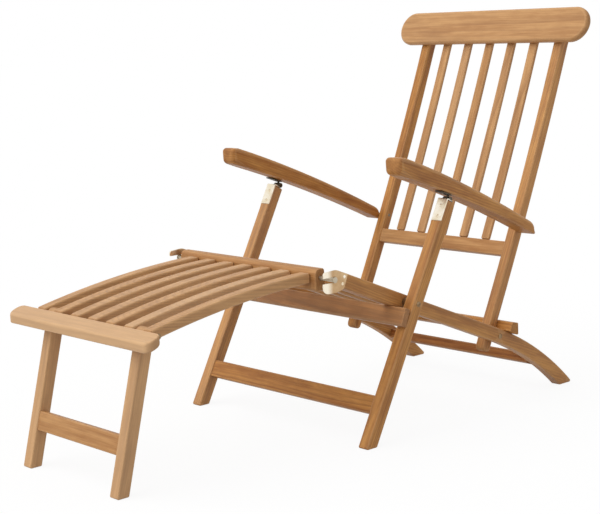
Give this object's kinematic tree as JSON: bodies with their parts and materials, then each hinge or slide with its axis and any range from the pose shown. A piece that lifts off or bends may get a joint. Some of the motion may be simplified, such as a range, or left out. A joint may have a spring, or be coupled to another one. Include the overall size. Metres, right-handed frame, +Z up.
{
  "type": "steamer deck chair",
  "caption": "Reclining slatted teak deck chair that folds flat, with hinged arms and a legged footrest that hooks onto the front of the seat.",
  "frame": {"origin": "on the floor under the middle of the chair's bounding box", "axes": "+Z up, the sitter faces -Y towards the footrest, +X is the sitter's left"},
  "size_m": [0.6, 1.3438, 0.8982],
  "materials": {
    "honey_teak": "oiled satin",
    "pale_teak": "oiled satin",
    "red_teak": "oiled satin",
    "brass": "polished"
  },
  "bodies": {
    "seat_frame": {"seat_rail_left": "honey_teak", "seat_rail_right": "honey_teak", "hook_plate_left": "brass", "hook_plate_right": "brass", "leg_stop_bar": "red_teak", "seat_front_crossbar": "honey_teak", "seat_rear_crossbar": "honey_teak", "seat_slat_1": "pale_teak", "seat_slat_2": "pale_teak", "seat_slat_3": "pale_teak", "seat_slat_4": "pale_teak", "seat_slat_5": "pale_teak", "back_stop_bar": "honey_teak", "rear_stretcher": "red_teak", "leg_pivot_bolt_left": "brass", "leg_pivot_bolt_right": "brass", "back_pivot_bolt_left": "brass", "back_pivot_bolt_right": "brass"},
    "back_frame": {"back_stile_left": "honey_teak", "back_stile_right": "honey_teak", "headboard": "pale_teak", "back_crossrail": "pale_teak", "back_slat_1": "pale_teak", "back_slat_2": "pale_teak", "back_slat_3": "pale_teak", "back_slat_4": "pale_teak", "back_slat_5": "pale_teak", "arm_pin_left": "brass", "arm_pin_right": "brass"},
    "front_legs": {"front_leg_left": "honey_teak", "front_leg_right": "honey_teak", "front_leg_stretcher": "honey_teak", "leg_hinge_leaf_left": "brass", "leg_hinge_leaf_right": "brass", "arm_hinge_pin_left": "brass", "arm_hinge_pin_right": "brass"},
    "arm_left": {"arm_left": "honey_teak", "arm_hinge_leaf_left": "brass"},
    "arm_right": {"arm_right": "honey_teak", "arm_hinge_leaf_right": "brass"},
    "footrest": {"footrest_nose_bar": "pale_teak", "footrest_hook_pin_left": "brass", "footrest_hook_pin_right": "brass", "footrest_rail_left": "pale_teak", "footrest_rail_right": "pale_teak", "footrest_slat_1": "pale_teak", "footrest_slat_2": "pale_teak", "footrest_slat_3": "pale_teak", "footrest_slat_4": "pale_teak", "footrest_slat_5": "pale_teak", "footrest_end_board": "pale_teak", "footrest_batten": "red_teak", "footrest_leg_bolt_left": "brass", "footrest_leg_bolt_right": "brass"},
    "footrest_legs": {"footrest_leg_left": "pale_teak", "footrest_leg_right": "pale_teak", "footrest_leg_stretcher": "pale_teak"}
  },
  "joints": [
    {"name": "back_fold", "type": "hinge", "parent": "seat_frame", "child": "back_frame", "pos_m": [0, 0.34634, 0.15708], "axis": [1, 0, 0], "range_deg": [0, 75]},
    {"name": "front_leg_fold", "type": "hinge", "parent": "seat_frame", "child": "front_legs", "pos_m": [0, 0.03766, 0.28463], "axis": [1, 0, 0], "range_deg": [0, 80.1]},
    {"name": "arm_left_turn", "type": "hinge", "parent": "front_legs", "child": "arm_left", "pos_m": [0, 0.15523, 0.49562], "axis": [1, 0, 0], "range_deg": [-81.9, 0]},
    {"name": "arm_right_turn", "type": "hinge", "parent": "front_legs", "child": "arm_right", "pos_m": [0, 0.15523, 0.49562], "axis": [1, 0, 0], "range_deg": [-81.9, 0]},
    {"name": "footrest_swing", "type": "hinge", "parent": "seat_frame", "child": "footrest", "pos_m": [0, -0.16993, 0.3638], "axis": [-1, 0, 0], "range_deg": [0, 50]},
    {"name": "footrest_leg_fold", "type": "hinge", "parent": "footrest", "child": "footrest_legs", "pos_m": [0, -0.57668, 0.30791], "axis": [1, 0, 0], "range_deg": [0, 100]}
  ],
  "couplings": [
    {"joint": "front_leg_fold", "follows": "back_fold", "ratio": 1.068},
    {"joint": "arm_left_turn", "follows": "back_fold", "ratio": -1.092},
    {"joint": "arm_right_turn", "follows": "back_fold", "ratio": -1.092}
  ]
}
